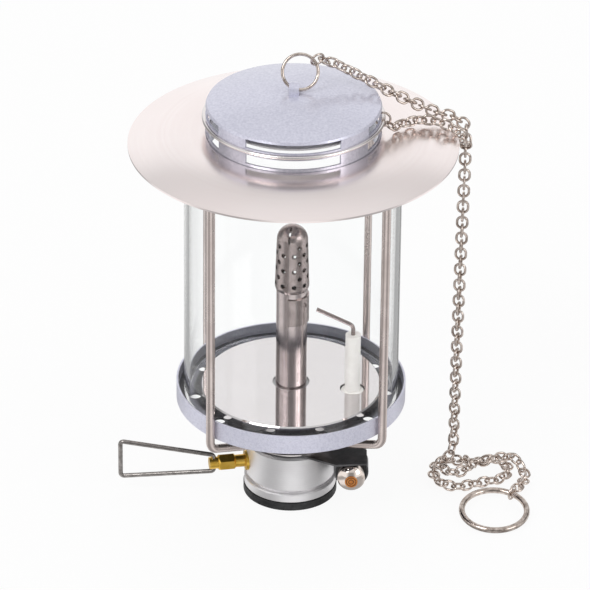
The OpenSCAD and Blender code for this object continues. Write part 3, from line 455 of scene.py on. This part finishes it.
# Shade: spun from thin stainless sheet and polished, with a faint warm cast and fine circles from
# the spinning. Its inner edge rests on a ledge round the collar.
shade_sheet = finish("spun_shade", (0.94, 0.84, 0.825), (0.985, 0.92, 0.91), (0.20, 0.27), metal=1.0,
                     cloud=25.0, lines=700.0, height=0.000002)
dress(shade_sheet, "shade")

# Hanging gear: nickel-plated wire rings and soldered links, slightly warm in tone. The strand from
# the hanging ring to the rim bends when the ring is swung, so it is made again as one skin, along
# the route of its solids.
nickel = finish("nickel_wire", (0.33, 0.27, 0.235), (0.80, 0.71, 0.65), (0.04, 0.12), metal=1.0, cloud=600.0)
dress(nickel, "hang_ring", "jump_ring", "stay_ring", "joint_ring", "end_jump_ring", "end_ring", "chain_stay",
      "chain_fall", "chain_heap")
LINK_WIRE = 0.0005
LINK_END = 0.002
LINK_SIDE = 0.0005
LINK_HOOK = 0.0013
LINK_PITCH = 0.00358
JUMP_CENTRE = np.array([0.008790, 0.005461, 0.187247])
JUMP_LEAVE = np.array([0.697620, 0.574437, -0.428088])
JUMP_NORMAL = np.array([-0.492950, 0.818710, 0.294380])
JOINT_CENTRE = np.array([0.0662, 0.0102, 0.1465])
JOINT_UP = np.array([0.0, 0.45, 0.893])
JOINT_NORMAL = np.array([1.0, 0, 0])
RING_HOLD = 0.0026
JUMP_OUT = 0.0056
JOINT_OUT = 0.0055
UPPER_ROUTE = np.vstack([JUMP_CENTRE + RING_HOLD * JUMP_LEAVE, JUMP_CENTRE + JUMP_OUT * JUMP_LEAVE,
                         (0.0165, 0.0085, 0.1836), (0.0265, 0.0088, 0.1780), (0.0365, 0.0086, 0.1724),
                         (0.0440, 0.0096, 0.1680), (0.0540, 0.0123, 0.1620), (0.0608, 0.0136, 0.1592),
                         (0.0660, 0.0136, 0.1554), JOINT_CENTRE + JOINT_OUT * JOINT_UP,
                         JOINT_CENTRE + RING_HOLD * JOINT_UP])


def smooth_route(points, steps=10):
    """Cubic through the points: each stretch runs from one point to the next with a slope that is
    half of the way between its neighbours, and the ends run straight on."""
    p = np.vstack([2 * points[0] - points[1], points, 2 * points[-1] - points[-2]])
    a, b, c, d = (p[k:k + len(points) - 1, None] for k in range(4))
    t = (np.arange(steps) / steps)[None, :, None]
    square, cube = 2 * a - 5 * b + 4 * c - d, 3 * b - a - 3 * c + d
    cubic = 0.5 * (2 * b + (c - a) * t + square * t ** 2 + cube * t ** 3)
    return np.vstack([cubic.reshape(-1, 3), points[-1:]])


def link_places(route, first, last):
    """Centres, directions and wide sides of the links: equal steps along the smooth route, each
    link a quarter turn on from the last, with the small rest of the turn shared out."""
    curve = smooth_route(route)
    run = np.r_[0, np.cumsum(np.linalg.norm(np.diff(curve, axis=0), axis=1))]
    count = int(np.ceil((run[-1] - 2 * LINK_HOOK) / LINK_PITCH)) + 1
    step = (run[-1] - 2 * LINK_HOOK) / (count - 1)
    along = LINK_HOOK + step * np.arange(count)
    centre, ahead, behind = (np.column_stack([np.interp(s, run, curve[:, k]) for k in range(3)])
                             for s in (along, along + step / 2, along - step / 2))
    way = (ahead - behind) / np.linalg.norm(ahead - behind, axis=1)[:, None]
    side = [first - way[0] * (first @ way[0])]
    for t in way[1:]:
        side.append(side[-1] - t * (side[-1] @ t))
    side = np.array(side) / np.linalg.norm(side, axis=1)[:, None]
    cross = np.cross(way, side)
    rest = math.atan2(last @ cross[-1], last @ side[-1]) - math.pi / 2 * (count - 1)
    rest = (rest + math.pi / 2) % math.pi - math.pi / 2
    roll = (np.arange(count) * (math.pi / 2 + rest / (count - 1)))[:, None]
    return centre, way, side * np.cos(roll) + cross * np.sin(roll)


def link_skin(places, around=40, sides=12):
    """Skin of all links at once: a circle of wire carried round a stadium of two half circles and
    two straight sides, the stadium lying along each link's direction and wide side."""
    centre, way, wide = (v[:, None, None, :] for v in places)
    flat = np.cross(places[1], places[2])[:, None, None, :]
    turn = (np.arange(around) + 0.5) * 2 * math.pi / around
    end = np.sign(np.cos(turn)) * LINK_SIDE
    u = (np.cos(turn) * LINK_END + end)[None, :, None, None]
    v = (np.sin(turn) * LINK_END)[None, :, None, None]
    out = way * np.cos(turn)[None, :, None, None] + wide * np.sin(turn)[None, :, None, None]
    ring = (np.arange(sides) * 2 * math.pi / sides)[None, None, :, None]
    points = centre + way * u + wide * v + LINK_WIRE * (out * np.cos(ring) + flat * np.sin(ring))
    base = np.arange(len(places[0]))[:, None, None] * around * sides
    i, j = np.arange(around)[None, :, None], np.arange(sides)[None, None, :]
    i2, j2 = (i + 1) % around, (j + 1) % sides
    quads = base[..., None] + np.stack([i * sides + j, i2 * sides + j, i2 * sides + j2, i * sides + j2], -1)
    return points.reshape(-1, 3), quads.reshape(-1, 4)


upper_links = link_places(UPPER_ROUTE, JUMP_NORMAL, JOINT_NORMAL)
upper_strand = skin_object("upper_strand", *link_skin(upper_links), nickel)
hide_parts("chain_upper")
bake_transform(upper_strand)
